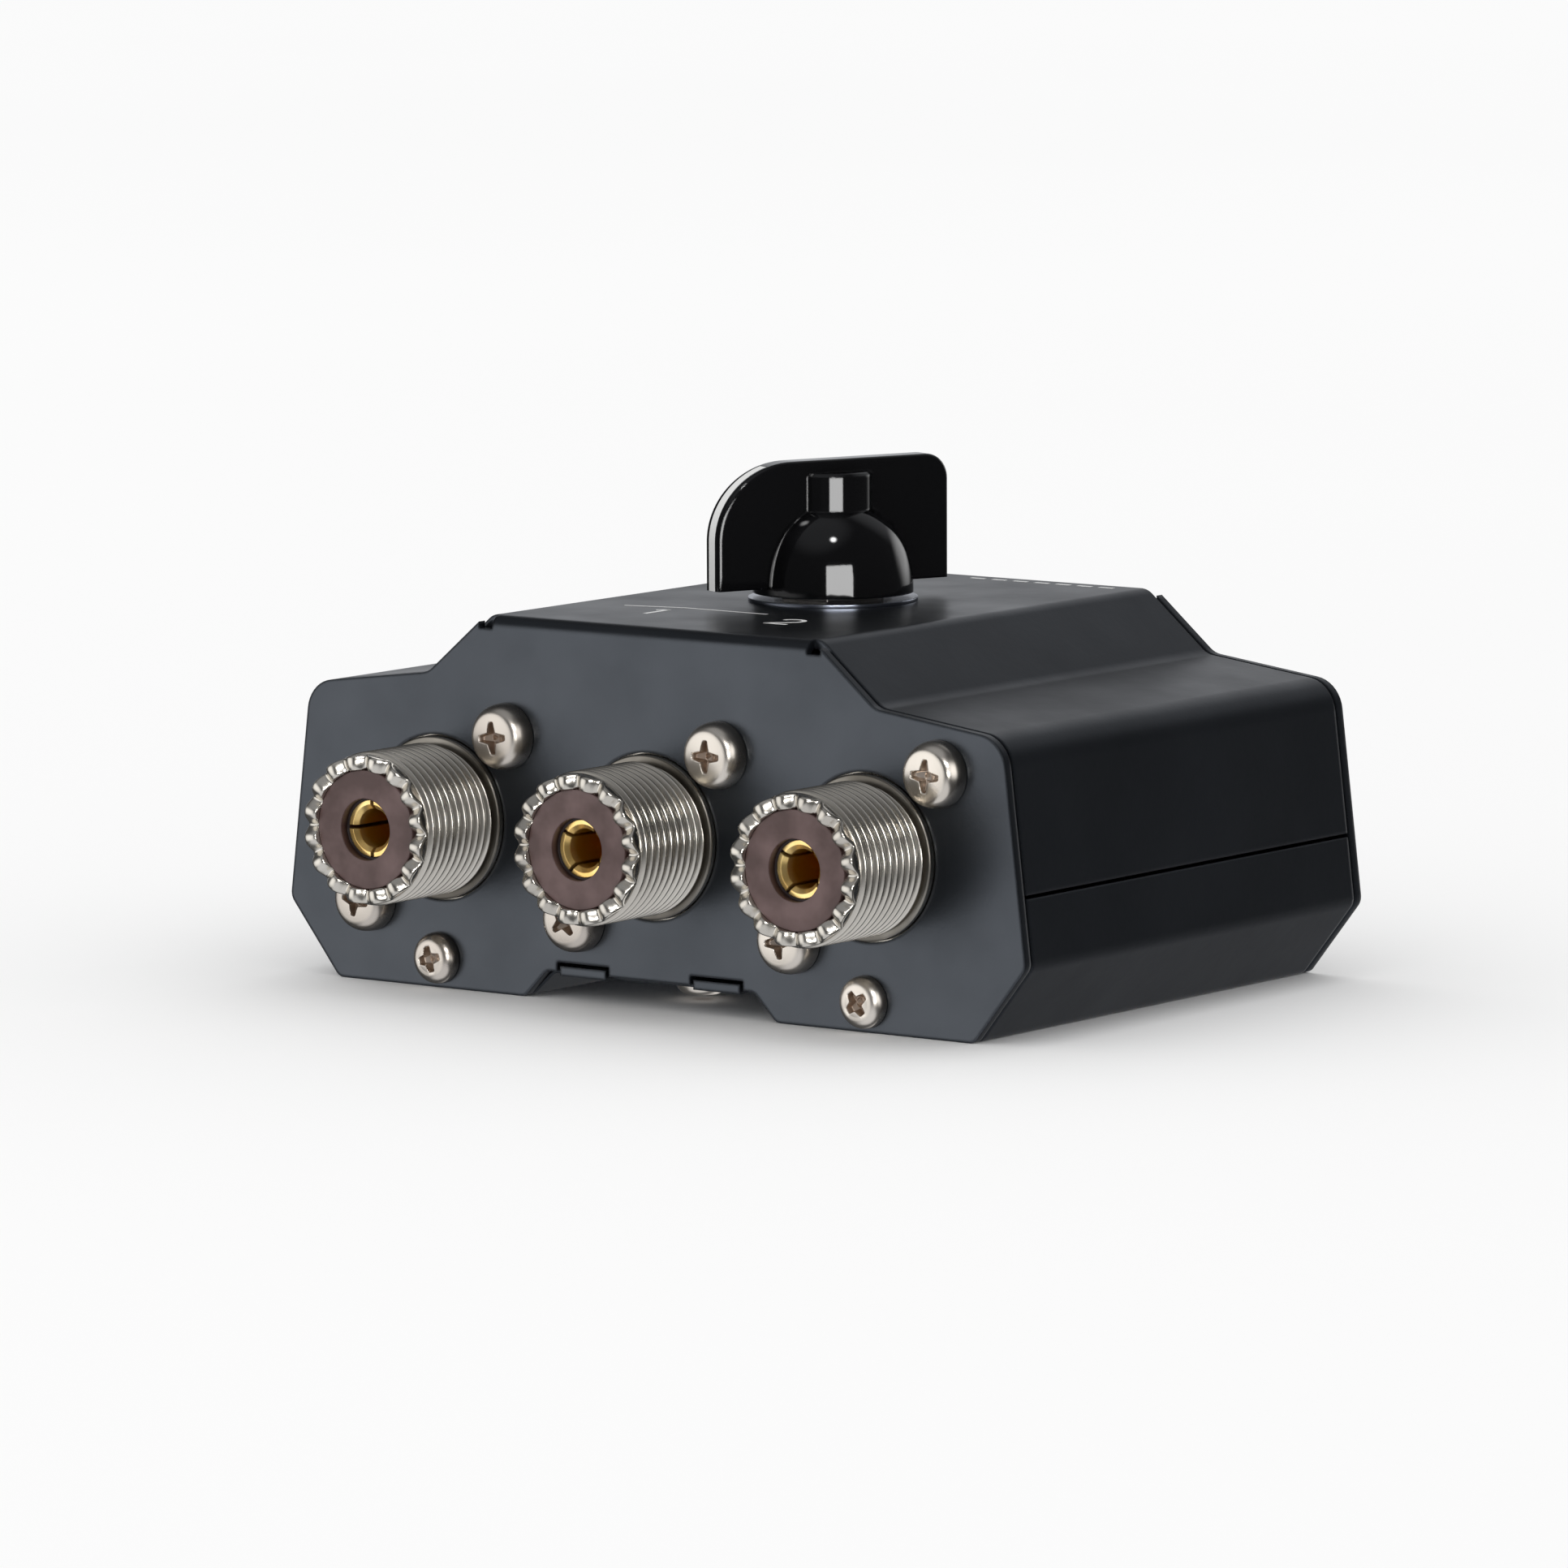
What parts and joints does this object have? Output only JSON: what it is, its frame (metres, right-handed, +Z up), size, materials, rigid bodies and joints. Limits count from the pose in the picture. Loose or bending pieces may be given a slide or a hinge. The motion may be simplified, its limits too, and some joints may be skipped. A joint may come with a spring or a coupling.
{
  "type": "coaxial switch",
  "caption": "Two-way coaxial antenna switch: black folded steel case, threaded UHF sockets along the front and a gloss pointer knob on top that joins the middle socket to either side one.",
  "frame": {"origin": "middle of the footprint, on the surface that the feet rest on", "axes": "+Z up along the knob's shaft, -Y out of the sockets, +X to the right as the sockets are seen"},
  "size_m": [0.0938, 0.0754, 0.054],
  "materials": {
    "case_paint": "satin black powder paint on folded steel sheet",
    "nickel": "nickel plate, slightly warm, machined",
    "zinc_steel": "bright plated steel",
    "core_brown": "brown moulded phenolic, satin",
    "contact_gold": "gold plate, polished",
    "knob_black": "high gloss moulded plastic",
    "pointer_white": "white paint fill",
    "board_brown": "laminated phenolic board",
    "silvered": "silver plate",
    "spring_steel": "hardened strip, plain"
  },
  "bodies": {
    "case": {"base_nuts": "zinc_steel", "base_screws": "nickel", "bottom_cover": "case_paint", "bushing_nut": "zinc_steel", "common_finger": "silvered", "common_link": "silvered", "contact_rivets": "nickel", "deck_posts": "zinc_steel", "detent_spring": "spring_steel", "dial_ring": "nickel", "flange_nuts": "zinc_steel", "flange_screws": "nickel", "link_1": "silvered", "link_2": "silvered", "panel_screws": "nickel", "shaft_bushing": "nickel", "socket_contact_1": "contact_gold", "socket_contact_2": "contact_gold", "socket_contact_3": "contact_gold", "socket_core_1": "core_brown", "socket_core_2": "core_brown", "socket_core_3": "core_brown", "socket_shell_1": "nickel", "socket_shell_2": "nickel", "socket_shell_3": "nickel", "spring_rivet": "nickel", "stop_pin": "zinc_steel", "switch_deck": "zinc_steel", "throw_finger_1": "silvered", "throw_finger_2": "silvered", "top_cover": "case_paint", "wafer": "board_brown", "wafer_screws": "zinc_steel"},
    "knob_body": {"knob": "knob_black", "pointer_line": "pointer_white", "knob_grub_screw": "spring_steel", "shaft": "zinc_steel", "shaft_clip": "spring_steel", "detent_wheel": "zinc_steel", "rotor_hub": "board_brown", "rotor_contact": "silvered"}
  },
  "joints": [
    {"name": "knob_turn", "type": "hinge", "parent": "case", "child": "knob_body", "pos_m": [0, 0.00705, 0.0392], "axis": [0, 0, 1], "range_deg": [0, 45]}
  ]
}
